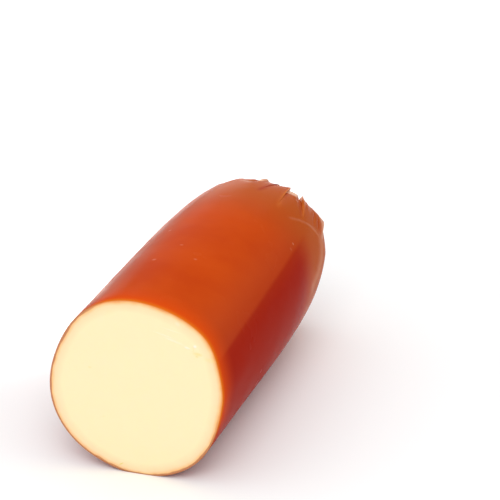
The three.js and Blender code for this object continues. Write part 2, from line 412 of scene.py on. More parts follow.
class LogFinish(bpy.types.PropertyGroup):
    """Colours and gloss of the rind and the paste, with the colours of their painted light and shade.
    """

    rind_color: FloatVectorProperty(
        name="Rind", description="Rind where the smoke lies lightest",
        default=(0.562, 0.0635, 0.0041), **COLOR,
    )
    smoked_color: FloatVectorProperty(
        name="Smoked Rind", description="Rind where the smoke lies heaviest",
        default=(0.496, 0.047, 0.0034), **COLOR,
    )
    # Painted shade: the rind darker red towards the underside
    underside_shade_color: FloatVectorProperty(
        name="Underside", description="Rind towards the underside, where the smoke is deepest",
        default=(0.340, 0.0120, 0.0016), **COLOR,
    )
    flank_color: FloatVectorProperty(
        name="Flanks", description="Rind on the sides",
        default=(0.455, 0.0541, 0.0130), **COLOR,
    )
    # Painted shade: the rind darker on the left, where less light falls
    left_shade_color: FloatVectorProperty(
        name="Left Side", description="Duller rind on the left",
        default=(0.385, 0.058, 0.010), **COLOR,
    )
    end_color: FloatVectorProperty(
        name="Gathered Rind", description="Rind near the gathered end",
        default=(0.432, 0.0965, 0.0146), **COLOR,
    )
    # Painted glow: rind at the cut brightened as if light came through the paste
    glow_color: FloatVectorProperty(
        name="Rind at the Cut", description="Thin rind that the pale paste shines through",
        default=(0.68, 0.165, 0.0120), **COLOR,
    )
    # Painted glow: rind near the cut brightened as if light came through the paste
    near_cut_glow_color: FloatVectorProperty(
        name="Rind Near the Cut", description="Rind that the paste behind the cut still brightens",
        default=(0.70, 0.070, 0.004), **COLOR,
    )
    # Painted shade in the recesses between the pleats
    crease_shade_color: FloatVectorProperty(
        name="Rind in Creases", description="Rind in the recesses between the pleats",
        default=(0.39, 0.046, 0.008), **COLOR,
    )
    # Painted glow on the pleats' raised edges
    edge_glow_color: FloatVectorProperty(
        name="Rind on Edges", description="Thin rind on the pleats' raised edges",
        default=(0.72, 0.20, 0.035), **COLOR,
    )
    # Painted highlights and reflections on folds and edges, and the colour of the real specks on the
    # rind
    highlight_and_speck_color: FloatVectorProperty(
        name="Thinnest Rind", description="Rind so thin that it lets much light through",
        default=(0.95, 0.62, 0.42), **COLOR,
    )
    paste_color: FloatVectorProperty(
        name="Paste", description="Cut paste in the middle",
        default=(0.96, 0.814, 0.505), **COLOR,
    )
    halo_color: FloatVectorProperty(
        name="Paste Near the Rind", description="Paste that the smoke has tinted",
        default=(0.97, 0.715, 0.43), **COLOR,
    )
    inner_halo_color: FloatVectorProperty(
        name="Paste Against the Rind", description="Paste that the smoke has tinted most",
        default=(0.95, 0.565, 0.25), **COLOR,
    )
    # Painted light: the rim's section on its lit side, glowing orange
    lit_rim_color: FloatVectorProperty(
        name="Clear Rind in Section", description="The rind's thickness where light comes through",
        default=(0.73, 0.217, 0.025), **COLOR,
    )
    # The rind's real section line, painted darker as shade on the rim's shaded side
    shaded_section_line_color: FloatVectorProperty(
        name="Rind in Section", description="The rind's own thickness, seen on the cut",
        default=(0.52, 0.205, 0.085), **COLOR,
    )
    # Knife smears on the cut: real marks whose whiteness is painted highlight
    smear_highlight_color: FloatVectorProperty(
        name="Pale Marks", description="Smears of lighter paste on the cut",
        default=(0.98, 0.91, 0.76), **COLOR,
    )
    yellow_mark_color: FloatVectorProperty(
        name="Yellow Marks", description="Dimples of darker paste on the cut",
        default=(0.88, 0.70, 0.24), **COLOR,
    )
    rind_roughness: FloatProperty(
        name="Rind Roughness", description="Lower is glossier",
        default=0.22, min=0.0, max=1.0, subtype="FACTOR",
    )


class StageSettings(bpy.types.PropertyGroup):
    """Where the camera stands, and how the log is lit."""

    azimuth: FloatProperty(
        name="Azimuth", description="How far to the right of the cut the camera stands",
        default=math.radians(17.78), subtype="ANGLE",
    )
    elevation: FloatProperty(
        name="Elevation", description="How far above the horizon the camera stands",
        default=math.radians(21.99), subtype="ANGLE",
    )
    distance: FloatProperty(
        name="Distance", description="From the camera to its aim",
        default=1.0021, min=0.1, unit="LENGTH",
    )
    aim: FloatVectorProperty(
        name="Aim", description="The point that the camera looks at",
        default=(0.03476, -0.04783, 0.08245), subtype="XYZ", unit="LENGTH",
    )
    lens: FloatProperty(
        name="Lens", description="Focal length in mm",
        default=194.79, min=10.0,
    )
    key_power: FloatProperty(
        name="Key Power", description="Watts of the large light above the camera",
        default=5.3, min=0.0, unit="POWER",
    )
    back_power: FloatProperty(
        name="Back Power", description="Watts of the low light behind the log",
        default=1.79, min=0.0, unit="POWER",
    )
    card_power: FloatProperty(
        name="Card Power", description="Watts of the low bright card behind on the left",
        default=1.64, min=0.0, unit="POWER",
    )
    pool_power: FloatProperty(
        name="Pool Power", description="Watts of the light on the floor behind on the left",
        default=34.7, min=0.0, unit="POWER",
    )
    world_strength: FloatProperty(
        name="Surround Above", description="Strength of the light from overhead",
        default=1.0, min=0.0,
    )
    horizon_strength: FloatProperty(
        name="Surround at the Horizon", description="Strength of the light from low all round",
        default=0.4, min=0.0,
    )
    floor_color: FloatVectorProperty(
        name="Floor", description="Plain pale floor",
        default=(0.95, 0.95, 0.95), **COLOR,
    )


def spread(kind):
    """One value for each lower pleat from a range, in an uneven order that never repeats."""
    low, high, start = LOWER_SPREADS[kind]
    return low + (high - low) * ((np.arange(LOWER_COUNT) * GOLDEN_SHARE + start) % 1)


def smooth_step(value, low, high):
    """0 up to low, 1 from high on, and a smooth rise between them."""
    run = np.clip((value - low) / (high - low), 0, 1)
    return run * run * (3 - 2 * run)


def bell(distance, half_width):
    """1 at no distance, falling away smoothly to a third at the half width."""
    return np.exp(-((distance / half_width) ** 2))


def lower_pleats():
    """Uneven pleats from the last upper one round to the first: most lap upwards."""
    widths = spread("width")
    span = FULL_TURN + UPPER_PLEATS[0][0] - LOWER_START
    at = LOWER_START + np.concatenate(([0], np.cumsum(widths)[:-1])) / widths.sum() * span
    high, low = spread("high"), spread("low")
    laps_down = np.arange(LOWER_COUNT) % DOWN_LAP_EVERY == DOWN_LAP_FIRST
    starts, ends = np.where(laps_down, low, high), np.where(laps_down, high, low)
    rest = spread("sag"), spread("glow")
    return np.stack((at, spread("drift"), spread("reach"), starts, ends, *rest), axis=1)


class Pleats:
    """The pleats round the gathered end, each field an array with one value for each pleat."""

    def __init__(self):
        table = np.concatenate((np.array(UPPER_PLEATS), lower_pleats()))
        self.at, drift, reach, start, end, sag, self.glow = table.T
        self.drift = drift / MM
        self.reach, self.start, self.end, self.sag = reach * MM, start * MM, end * MM, sag * MM
        self.count = len(table)
        # How far each pleat's first edge stands above the last edge of the one before it
        self.step = self.start - np.roll(self.end, 1)

    def widths(self):
        """Degrees from each pleat's edge to the next one's."""
        return np.diff(np.append(self.at, self.at[0] + FULL_TURN))


def section_share(angle):
    """Radius of the section at an angle in radians, as a share of a circle's."""
    share = 1 + SAG_SHARE * bell(angle - SAG_ANGLE, SAG_SPREAD)
    for count, across, upward in SECTION_LOBES:
        share += across * np.cos(count * angle) + upward * np.sin(count * angle)
    return share


def degrees_apart(degrees, turn):
    """How far each angle lies from a turn, the shorter way round."""
    return (degrees - turn + FULL_TURN / 2) % FULL_TURN - FULL_TURN / 2


def cut_swell(profile, degrees):
    """The swells of the section close to the cut, as a share of the log's radius."""
    total = 0
    for turn, half_width, height in CUT_SWELLS:
        share = height * MM / profile.full_radius
        total = total + share * bell(degrees_apart(degrees, turn), half_width)
    return total * (1 - smooth_step(profile.along, 0, CUT_SWELL_END))[:, None]


class Profile:
    """The log's outline from the middle of the cut round to the knot, one value a station."""

    # How many rings of faces each stretch has, apart from the taper
    CUT_RINGS = 12
    BEVEL_RINGS = 3
    BODY_RINGS = 12
    END_RINGS = 22

    def __init__(self, sizes):
        radius = sizes.diameter / 2
        level = sizes.straight_length + sizes.taper_length
        self.full_radius = radius
        self.end_radius = radius * sizes.end_share
        cut = np.linspace(0, radius - sizes.rim_bevel, self.CUT_RINGS)
        turn = np.linspace(0, math.pi / 2, self.BEVEL_RINGS + 1)[1:]
        bevel = radius - sizes.rim_bevel * (1 - np.sin(turn))
        bevel_along = sizes.rim_bevel * (1 - np.cos(turn))
        body_along = np.linspace(sizes.rim_bevel, sizes.straight_length, self.BODY_RINGS + 1)[1:]
        runs = np.interp(np.linspace(0, 1, sizes.ring_count + 1)[1:], RING_SHARES, RING_RUNS)
        inward = np.maximum(np.cos(runs * math.pi / 2), 0) ** (2 / sizes.taper_power)
        along = np.sin(runs * math.pi / 2) ** (2 / sizes.taper_power)
        taper = radius * (sizes.end_share + (1 - sizes.end_share) * inward)
        end = self.end_radius * np.linspace(1, 0, self.END_RINGS + 1)[1:]
        end_along = (
            level
            + END_BULGE * (1 - (end / self.end_radius) ** 2)
            - PUCKER_DEPTH * bell(end, PUCKER_RADIUS)
            + KNOT_HEIGHT * bell(end, KNOT_RADIUS)
        )
        self.radius = np.concatenate((cut, bevel, np.full(self.BODY_RINGS, radius), taper, end))
        self.along = np.concatenate((
            np.zeros(self.CUT_RINGS), bevel_along, body_along,
            sizes.straight_length + sizes.taper_length * along, end_along,
        ))
        self.straight_length = sizes.straight_length
        self.rim = self.CUT_RINGS - 1
        taper_start = self.CUT_RINGS + self.BEVEL_RINGS + self.BODY_RINGS
        self.crest = taper_start + int(np.argmin(np.abs(runs - CREST_RUN)))
        self.measure()

    def measure(self):
        """Works out the way along the outline, the way ahead of the crest, and which way is out."""
        steps = np.hypot(np.diff(self.radius), np.diff(self.along))
        self.travelled = np.concatenate(([0], np.cumsum(steps)))
        self.ahead = self.travelled[self.crest] - self.travelled
        tangent = np.stack((np.gradient(self.radius), np.gradient(self.along)))
        tangent /= np.maximum(np.hypot(*tangent), TINY)
        self.outward, self.backward = tangent[1], -tangent[0]

    def travelled_at(self, along):
        """The way along the rind's outline to a distance from the cut."""
        rind = slice(self.rim, int(np.argmax(self.along)) + 1)
        return np.interp(along, self.along[rind], self.travelled[rind])


def column_places(pleats, column_step):
    """The pleat and the share of the way across it for every line along the log."""
    step = column_step * np.where(np.arange(pleats.count) < UPPER_COUNT, 1, LOWER_COARSENESS)
    steps = np.maximum(MIN_COLUMNS, np.round(pleats.widths() / step)).astype(int)
    pleat = np.repeat(np.arange(pleats.count), steps + 1)
    across = np.concatenate([np.linspace(0, 1, count + 1) for count in steps])
    return pleat, across - EDGE_CROWDING * np.sin(math.tau * across) / math.tau


def fade_ahead(ahead, reach):
    """How much of a pleat's height is left at a distance ahead of the crest."""
    return np.clip(1 - np.maximum(ahead, 0) / reach, 0, 1) ** AHEAD_FADE


def edge_angles(pleats, profile, pleat, side):
    """Degrees of one edge of each line's pleat at every station, tucked in where it is the lower."""
    edge = (pleat + (side == "last")) % pleats.count
    turned = ((pleat + (side == "last")) // pleats.count) * FULL_TURN
    ahead = profile.ahead[:, None]
    drifted = pleats.drift[edge] * np.clip(ahead, 0, pleats.reach[edge])
    behind = smooth_step(profile.end_radius - profile.radius, 0, profile.end_radius)
    twist = np.where(profile.ahead < 0, END_TWIST * behind, 0)[:, None]
    fade = fade_ahead(ahead, pleats.reach[edge]) * fade_behind(profile)[:, None]
    lower = pleats.step[edge] < 0 if side == "first" else pleats.step[edge] > 0
    tuck = np.minimum(LAP_TUCK * np.abs(pleats.step[edge]) / MM, LAP_TUCK_MAX) * fade * lower
    aside = LAP_GAP / 2 - tuck
    return pleats.at[edge] + turned + drifted + twist + (aside if side == "first" else -aside)


def fade_behind(profile):
    """How much of the folds' height is left on the way from the crest to the knot."""
    share = np.minimum(1, profile.radius / profile.end_radius) ** BEHIND_FADE
    return np.where(profile.ahead < 0, share, 1)


def pleat_heights(pleats, profile, pleat, across):
    """How far the folds stand from the smooth outline, for every station and line."""
    following = (pleat + 1) % pleats.count
    height = pleats.start[pleat] + (pleats.end - pleats.start)[pleat] * across
    height = height - pleats.sag[pleat] * 4 * across * (1 - across)
    reach = pleats.reach[pleat] * (1 - across) + pleats.reach[following] * across
    fade = fade_ahead(profile.ahead[:, None], reach)
    return height * fade * fade_behind(profile)[:, None]


def path_gap(profile, degrees, path):
    """How far every point lies from a path of angles and distances from the cut in mm, and how
    many of the path's legs lie before it."""
    gap, legs = np.full(degrees.shape, np.inf), np.zeros(degrees.shape)
    radius = profile.radius[:, None]
    for leg, ((turn, start), (next_turn, end)) in enumerate(zip(path, path[1:])):
        begin, finish = (profile.travelled_at(place * MM) for place in (start, end))
        aside = np.radians(degrees_apart(degrees, turn)) * radius
        onward = (profile.travelled - begin)[:, None]
        run_aside, run_onward = math.radians(next_turn - turn) * radius, finish - begin
        length = run_aside**2 + run_onward**2
        share = np.clip((aside * run_aside + onward * run_onward) / np.maximum(length, TINY), 0, 1)
        leg_gap = np.hypot(aside - share * run_aside, onward - share * run_onward)
        legs = np.where(leg_gap < gap, leg + share, legs)
        gap = np.minimum(gap, leg_gap)
    return gap, legs


def fold_line(profile, degrees, path, half_width):
    """1 on a path after its soft start, falling to 0 away from it, and 0 on the cut."""
    on_rind = (np.arange(len(profile.radius)) > profile.rim)[:, None]
    gap, legs = path_gap(profile, degrees, path)
    return on_rind * smooth_step(legs, 0, 1) * bell(gap, half_width * MM)


def edge_gaps(profile, pleats, pleat, across):
    """How far every point lies from its pleat's first and last edges."""
    width = np.radians(pleats.widths()[pleat]) * profile.radius[:, None]
    return width * across, width * (1 - across)


def side_swells(profile, degrees):
    """The height of the broad swells and hollows on the right of the taper."""
    on_rind = (profile.travelled > profile.travelled[profile.rim])[:, None]
    total = 0
    for turn, place, height, across, along in SWELLS:
        onward = ((profile.travelled - profile.travelled_at(place * MM)) / MM)[:, None]
        hill = bell(degrees_apart(degrees, turn), across) * bell(onward, along)
        total = total + height * MM * hill
    return total * on_rind


def end_wrinkles(profile, degrees):
    """The height of the fine wrinkles between the crest and the knot."""
    angle = np.radians(degrees)
    total = 0
    for count, crowds, crowding, height in WRINKLES:
        total = total + height * MM * np.sin(count * angle + crowding * np.sin(crowds * angle))
    behind = smooth_step(-profile.ahead / MM, *WRINKLE_START)
    return total * (behind * np.minimum(1, profile.radius / profile.end_radius))[:, None]


def crest_highlight(profile, degrees, pleat):
    """Where a painted highlight runs along one pleat's crest."""
    along = smooth_step(profile.along / MM, *HIGHLIGHT_PLACES)[:, None]
    return HIGHLIGHT_STRENGTH * (pleat == HIGHLIGHT_PLEAT) * along * smooth_step(degrees, *HIGHLIGHT_ANGLES)


def raised_tip(profile, pleats, pleat, across):
    """The height of the one corner of the rind that stands up from the crest."""
    gap = edge_gaps(profile, pleats, pleat, across)[1] / (TIP_ACROSS * MM)
    along = bell(profile.ahead, TIP_ALONG * MM)[:, None]
    return TIP_HEIGHT * MM * (pleat == TIP_PLEAT) * np.exp(-gap) * along


def edge_tints(profile, pleats, pleat, across):
    """Painted glow on raised edges, painted highlight by the crest, painted shade in recesses and
    knot.
    """
    first_gap, last_gap = edge_gaps(profile, pleats, pleat, across)
    following = (pleat + 1) % pleats.count
    ahead = profile.ahead[:, None]
    crest = bell(ahead, CREST_LIGHT_REACH * MM)
    behind = smooth_step(-ahead / MM, *BEHIND_SHADE_RUN)
    glow = pale = dark = 0
    for gap, edge, way in ((first_gap, pleat, 1), (last_gap, following, -1)):
        step = way * pleats.step[edge] / MM * fade_ahead(ahead, pleats.reach[edge])
        step = step * (profile.radius > PUCKER_RADIUS)[:, None]
        raised, lower = np.clip(step, 0, 1) * pleats.glow[edge], np.clip(-step, 0, 1)
        foot = lower * pleats.glow[edge] * bell(gap, FOOT_GLOW * MM)
        on_edge = np.maximum(raised * bell(gap, RAISED_GLOW * MM), foot)
        glow = np.maximum(glow, on_edge)
        pale = np.maximum(pale, CREST_HIGHLIGHT * crest * on_edge)
        recess = bell(gap / MM - RECESS_GAP, RECESS_SHADE)
        dark = np.maximum(dark, RECESS_STRENGTH * (1 - CREST_LIGHT * crest) * lower * recess)
        shade = bell(gap, BEHIND_SHADE * MM) * np.sqrt(lower)
        dark = np.maximum(dark, BEHIND_STRENGTH * behind * shade)
    knot = bell(profile.radius, KNOT_SHADE)[:, None]
    return glow, pale, np.maximum(dark, BEHIND_STRENGTH * behind * knot)


def from_top(degrees):
    """Degrees from the top of the log, negative on the right."""
    return degrees_apart(degrees, FULL_TURN / 4)


def lit_side_of_rim(degrees):
    """1 round the cut on the lit side, painted as light through the rind; 0 on the shaded side, a dark
    line.
    """
    turn = from_top(degrees)
    return smooth_step(turn, *LIT_SIDE_RIGHT) * (1 - smooth_step(turn, *LIT_SIDE_LEFT))


def deep_smoke(profile, degrees):
    """Painted shade: how dark the rind turns, a step low on each flank over a slow change."""
    turn, along = from_top(degrees), (profile.along / MM)[:, None]
    soft = np.maximum(smooth_step(turn, *SOFT_LEFT), smooth_step(-turn, *SOFT_RIGHT))
    turn = np.abs(turn)
    edge = UNDER_SHADE_EDGE - UNDER_SHADE_EDGE_DRIFT * along
    step = smooth_step(turn, edge, edge + UNDER_SHADE_EDGE_WIDTH)
    depth = UNDER_SHADE_STEP * step + (1 - UNDER_SHADE_STEP) * smooth_step(turn, *UNDER_SHADE_SLOW)
    depth = depth * (1 - smooth_step(along, *UNDER_SHADE_ENDS))
    soft_depth = smooth_step(turn, *SOFT_STEP) * (1 - smooth_step(along, *SOFT_ENDS))
    return depth + (soft_depth - depth) * soft


def line_tints(profile, degrees, lines):
    """The strongest of several lines of colour at every point."""
    tints = [fold_line(profile, degrees, path, width) * strength for path, width, strength in lines]
    return np.max(tints, axis=0)


def skin(sizes, profile, pleats, pleat, across):
    """Every point of the log's surface about its own axis, stations by lines by xyz."""
    first = edge_angles(pleats, profile, pleat, "first")
    last = edge_angles(pleats, profile, pleat, "last")
    degrees = first + (last - first) * across
    angle = np.radians(degrees)
    height = pleat_heights(pleats, profile, pleat, across)
    height = height + raised_tip(profile, pleats, pleat, across) + side_swells(profile, degrees)
    height = height + end_wrinkles(profile, degrees)
    for path, half_width, fold_height in FINE_FOLDS:
        height = height + fold_height * MM * fold_line(profile, degrees, path, half_width)
    share = section_share(angle) + cut_swell(profile, degrees)
    radius = profile.radius[:, None] * share + height * profile.outward[:, None]
    x = radius * np.cos(angle)
    above = radius * np.sin(angle) + sizes.rest_depth
    z = FLAT_SOFTNESS * np.logaddexp(0, above / FLAT_SOFTNESS) - sizes.rest_depth
    lean = (CUT_RISE * z + CUT_SLEW * x) * np.maximum(
        0, 1 - profile.along[:, None] / profile.straight_length
    )
    y = profile.along[:, None] + lean + height * profile.backward[:, None]
    glow, pale, dark = edge_tints(profile, pleats, pleat, across)
    pale = np.maximum(pale, crest_highlight(profile, degrees, pleat))
    pale_share = smooth_step(profile.ahead / MM, *HIGHLIGHT_END)[:, None]
    # Painted light and shade: glow on lit edges, shade in recesses, highlights on folds, the rim's lit
    # and shaded sides, and shade on the left and the underside
    tints = {
        "fold_glow": np.maximum(glow, line_tints(profile, degrees, GLOW_LINES)),
        "fold_dark": np.maximum(dark, line_tints(profile, degrees, SHADE_LINES)),
        "fold_pale": np.maximum(pale, line_tints(profile, degrees, HIGHLIGHT_LINES)) * pale_share,
        "rim_clear": lit_side_of_rim(degrees),
        "left_side": LEFT_SHADE_SHARE * smooth_step(from_top(degrees), *LEFT_SHADE_TURNS),
        "deep_smoke": deep_smoke(profile, degrees),
    }
    return np.stack((x, y, z), axis=-1), tints


def deselect_all():
    """Leaves nothing selected, because an operator acts on all that is."""
    if bpy.context.object and bpy.context.object.mode != "OBJECT":
        bpy.ops.object.mode_set(mode="OBJECT")
    bpy.ops.object.select_all(action="DESELECT")


def draw_outline(profile):
    """Draws the log's outline as a chain of edges, extruded point by point from the cut's middle."""
    deselect_all()
    bpy.ops.mesh.primitive_plane_add(size=MM, location=(0, 0, 0))
    outline = bpy.context.object
    bpy.ops.object.mode_set(mode="EDIT")
    bpy.ops.mesh.select_all(action="SELECT")
    bpy.ops.mesh.merge(type="CENTER")
    for across, along in zip(np.diff(profile.radius), np.diff(profile.along)):
        bpy.ops.mesh.extrude_region_move(
            TRANSFORM_OT_translate={"value": (float(across), float(along), 0)}
        )
    return outline


def spin_outline(columns):
    """Spins the outline once round Y and closes its seam and its two poles."""
    bpy.ops.mesh.select_all(action="SELECT")
    bpy.ops.mesh.spin(steps=columns, angle=math.tau, center=(0, 0, 0), axis=(0, 1, 0))
    bpy.ops.mesh.select_all(action="SELECT")
    bpy.ops.mesh.remove_doubles(threshold=WELD)
    bpy.ops.mesh.normals_make_consistent(inside=False)


def select_faces(mesh, chosen):
    """Selects the faces for which chosen is true, and nothing else."""
    mesh.vertices.foreach_set("select", np.zeros(len(mesh.vertices), bool))
    mesh.edges.foreach_set("select", np.zeros(len(mesh.edges), bool))
    mesh.polygons.foreach_set("select", chosen)


def assign_paste(log):
    """Gives the cut's faces the second material, while they are still flat."""
    bpy.ops.object.mode_set(mode="OBJECT")
    mesh = log.data
    normals = np.zeros(len(mesh.polygons) * 3, np.float32)
    centres = np.zeros(len(mesh.polygons) * 3, np.float32)
    mesh.polygons.foreach_get("normal", normals)
    mesh.polygons.foreach_get("center", centres)
    # The cut's faces look straight ahead and lie at the log's start
    on_cut = (normals.reshape(-1, 3)[:, 1] < CUT_FACING) & (centres.reshape(-1, 3)[:, 1] < WELD)
    select_faces(mesh, on_cut)
    bpy.ops.object.mode_set(mode="EDIT")
    log.active_material_index = 1
    bpy.ops.object.material_slot_assign()
    bpy.ops.object.mode_set(mode="OBJECT")


def vertex_places(mesh, profile, columns):
    """The station and the line of each vertex of the spun outline."""
    co = np.zeros(len(mesh.vertices) * 3, np.float32)
    mesh.vertices.foreach_get("co", co)
    x, y, z = co.reshape(-1, 3).T
    turn = np.arctan2(z, x) % math.tau
    line = np.round(turn / math.tau * columns).astype(int) % columns
    off = (np.hypot(x, z)[:, None] - profile.radius) ** 2 + (y[:, None] - profile.along) ** 2
    return np.argmin(off, axis=1), line


def set_attribute(mesh, name, values):
    """Stores one number for each vertex, for the materials to read."""
    layer = mesh.attributes.new(name, "FLOAT", "POINT")
    layer.data.foreach_set("value", values.astype(np.float32))


def place_on_frame(co):
    """Moves the points so that the low corner of their box is the frame's solid's."""
    low, _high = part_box(LOG_NODE)
    return co + np.array(low) - co.min(axis=0)


def build_log(sizes):
    """Spins the smooth log as one closed mesh, with lines along it where the pleats need them."""
    profile, pleats = Profile(sizes), Pleats()
    pleat, across = column_places(pleats, sizes.column_step)
    log = draw_outline(profile)
    spin_outline(len(pleat))
    log.name = log.data.name = "sausage_cheese"
    return log, profile, pleats, pleat, across


def shape_log(log, sizes, profile, pleats, pleat, across):
    """Moves the spun mesh's points on to the log's section and folds, in its place on the frame."""
    mesh = log.data
    station, line = vertex_places(mesh, profile, len(pleat))
    points, tints = skin(sizes, profile, pleats, pleat, across)
    co = points[station, line]
    pole = profile.radius[station] < WELD
    co[pole] = [(0, along, 0) for along in profile.along[station[pole]]]
    mesh.vertices.foreach_set("co", place_on_frame(co).astype(np.float32).ravel())
    mesh.update()
    set_attribute(mesh, "rim_gap", np.abs(profile.travelled - profile.travelled[profile.rim])[station])
    for name, tint in tints.items():
        set_attribute(mesh, name, tint[station, line])


def add_node(tree, kind, inputs=None, **settings):
    """Adds a node. An input is either a value or another node's output socket."""
    node = tree.nodes.new(kind)
    for name, value in settings.items():
        setattr(node, name, value)
    for name, value in (inputs or {}).items():
        if isinstance(value, bpy.types.NodeSocket):
            tree.links.new(value, node.inputs[name])
        else:
            node.inputs[name].default_value = value
    return node


def new_material(name):
    """An empty node material and its node tree."""
    material = bpy.data.materials.new(name)
    material.use_nodes = True
    material.node_tree.nodes.clear()
    return material, material.node_tree


def add_surface(tree, inputs):
    """Ends a material with its shader and its output."""
    shader = add_node(tree, "ShaderNodeBsdfPrincipled", inputs)
    add_node(tree, "ShaderNodeOutputMaterial", {"Surface": shader.outputs["BSDF"]})


def opaque(color):
    """A colour with its alpha. A socket stays as it is."""
    return color if isinstance(color, bpy.types.NodeSocket) else (*color, 1)


def mix_color(tree, factor, first, second):
    """Blends two colours by a factor, each a value or a socket. Returns the result's socket."""
    inputs = {MIX_FACTOR: factor, MIX_FIRST: opaque(first), MIX_SECOND: opaque(second)}
    return add_node(tree, "ShaderNodeMix", inputs, data_type="RGBA").outputs[MIX_RESULT]


def tint_over(tree, color, tints):
    """Lays tints over a colour, one after the other, each given as its share and its colour."""
    for share, tint in tints:
        color = mix_color(tree, share, color, tint)
    return color


def map_range(tree, value, from_low, from_high, to_low=0.0, to_high=1.0, smooth=True):
    """Maps a socket's value from one range to another. Returns the result's socket."""
    node = add_node(tree, "ShaderNodeMapRange", {
        "Value": value, "From Min": from_low, "From Max": from_high,
        "To Min": to_low, "To Max": to_high,
    })
    node.interpolation_type = "SMOOTHSTEP" if smooth else "LINEAR"
    return node.outputs["Result"]


def noise(tree, place, pattern):
    """The value socket of a noise pattern."""
    inputs = {"Vector": place, "Scale": pattern[0], "Detail": pattern[1]}
    return add_node(tree, "ShaderNodeTexNoise", inputs).outputs["Fac"]


def attribute(tree, name):
    """The value socket of a mesh attribute."""
    return add_node(tree, "ShaderNodeAttribute", attribute_name=name).outputs["Fac"]


def math_node(tree, operation, *values):
    """The value socket of a sum, product or the like of values or sockets."""
    return add_node(
        tree, "ShaderNodeMath", dict(enumerate(values)), operation=operation
    ).outputs["Value"]


def add_bumps(tree, *bumps):
    """The normal socket of several bumps, one on the other: each one's height socket and sizes."""
    inputs = {}
    for height, (strength, distance) in bumps:
        inputs |= {"Height": height, "Strength": strength, "Distance": distance}
        inputs["Normal"] = add_node(tree, "ShaderNodeBump", inputs).outputs["Normal"]
    return inputs["Normal"]


def color_ramp(tree, factor, stops):
    """Blends colours along a factor from 0 to 1. Returns the result's socket."""
    node = add_node(tree, "ShaderNodeValToRGB", {"Fac": factor})
    elements = node.color_ramp.elements
    while len(elements) < len(stops):
        elements.new(1.0)
    for element, (position, color) in zip(elements, stops):
        element.position = position
        element.color = opaque(color)
    return node.outputs["Color"]


def rim_gap(tree, place):
    """The distance from the rind's edge on the cut, a little uneven."""
    pattern = noise(tree, place, WAVER_NOISE)
    waver = map_range(tree, pattern, *NOISE_SPAN, -RIM_WAVER, RIM_WAVER, False)
    gap = attribute(tree, "rim_gap")
    # No waver at the edge itself, where the two materials meet
    share = map_range(tree, gap, 0.0, INNER_HALO_REACH, 0.0, 1.0)
    return math_node(tree, "ADD", gap, math_node(tree, "MULTIPLY", waver, share))


def ellipse_mark(tree, place, middle, half_sizes, tilt, strength):
    """A soft mark about a place in mm: strength in its middle and 0 at its edge."""
    local = add_node(tree, "ShaderNodeMapping", {
        "Vector": place, "Location": Vector(middle) * MM, "Rotation": (0, math.radians(-tilt), 0),
        "Scale": Vector(half_sizes) * MM,
    }, vector_type="TEXTURE").outputs["Vector"]
    away = add_node(tree, "ShaderNodeVectorMath", {0: local}, operation="LENGTH").outputs["Value"]
    return map_range(tree, away, MARK_CORE, 1.0, strength, 0.0)


def strongest(tree, marks):
    """The strongest of several marks."""
    result = marks[0]
    for mark in marks[1:]:
        result = math_node(tree, "MAXIMUM", result, mark)
    return result


def cut_marks(tree, place, table):
    """All of one kind of mark on the cut."""
    return strongest(tree, [
        ellipse_mark(tree, place, (across, CUT_DEPTH, up), (wide, THROUGH_CUT, high), tilt, strength)
        for across, up, wide, high, tilt, strength in table
    ])


def edge_line(tree, gap, reach, clear):
    """How dark the rind's own line is, at a distance from the edge, as painted shade where the rim
    isn't lit.
    """
    near = map_range(tree, gap, *reach, 1.0, 0.0)
    return math_node(tree, "MULTIPLY", near, math_node(tree, "SUBTRACT", 1.0, clear))


def cut_glow(tree, gap, glow, clear):
    """Painted glow: how much the paste shines through the rind, at a distance from the cut, on the lit
    side.
    """
    reach, power = glow
    near = math_node(tree, "POWER", map_range(tree, gap, 0.0, reach, 1.0, 0.0, False), power)
    return math_node(tree, "MULTIPLY", near, clear)


